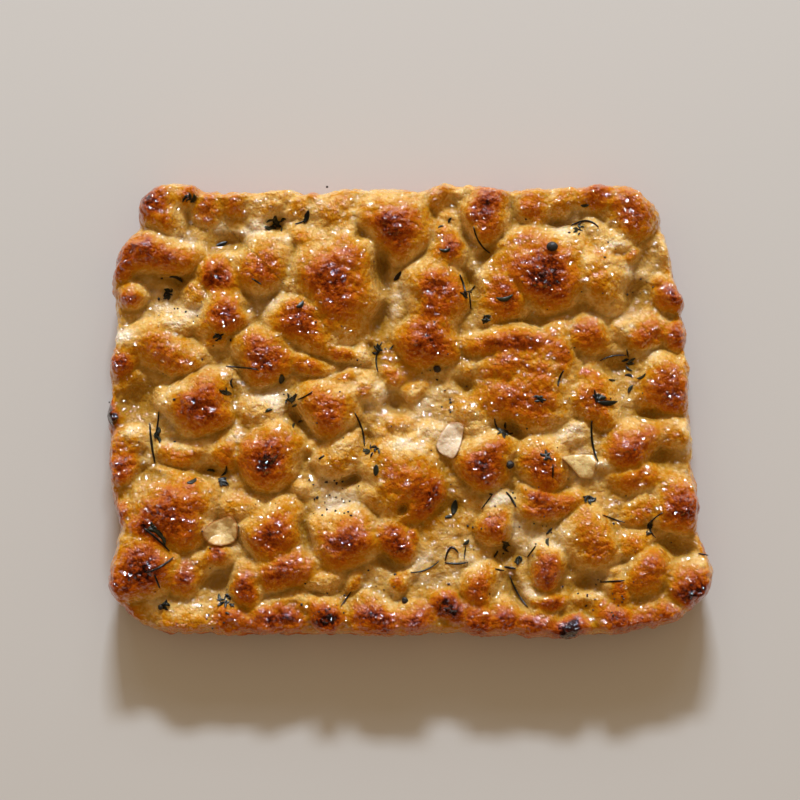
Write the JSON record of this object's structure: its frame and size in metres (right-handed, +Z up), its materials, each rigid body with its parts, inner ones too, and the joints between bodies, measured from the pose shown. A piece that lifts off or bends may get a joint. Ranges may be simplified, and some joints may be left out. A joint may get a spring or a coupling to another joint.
{
  "type": "focaccia",
  "caption": "Whole rectangular focaccia with a dimpled, blistered crust, rolled edges and pieces of garlic baked onto its top.",
  "frame": {"origin": "middle of the loaf's outline, at its flat base", "axes": "+X along the long side, +Y towards the back edge, +Z up through the dimpled top"},
  "size_m": [0.3201, 0.2435, 0.0408],
  "materials": {
    "crust": "baked bread crust, oiled, golden in the hollows and browned to dark on the bubbles",
    "garlic": "roasted garlic, cream with toasted edges, slightly translucent",
    "browned_garlic": "garlic baked golden brown, with a dark curled edge",
    "herbs": "dried thyme and rosemary, dark olive to black-green",
    "pepper": "black pepper, whole and cracked"
  },
  "bodies": {
    "root": {"loaf": "crust", "garlic_chip": "garlic", "garlic_slice": "garlic", "garlic_curl": "browned_garlic"}
  },
  "joints": []
}
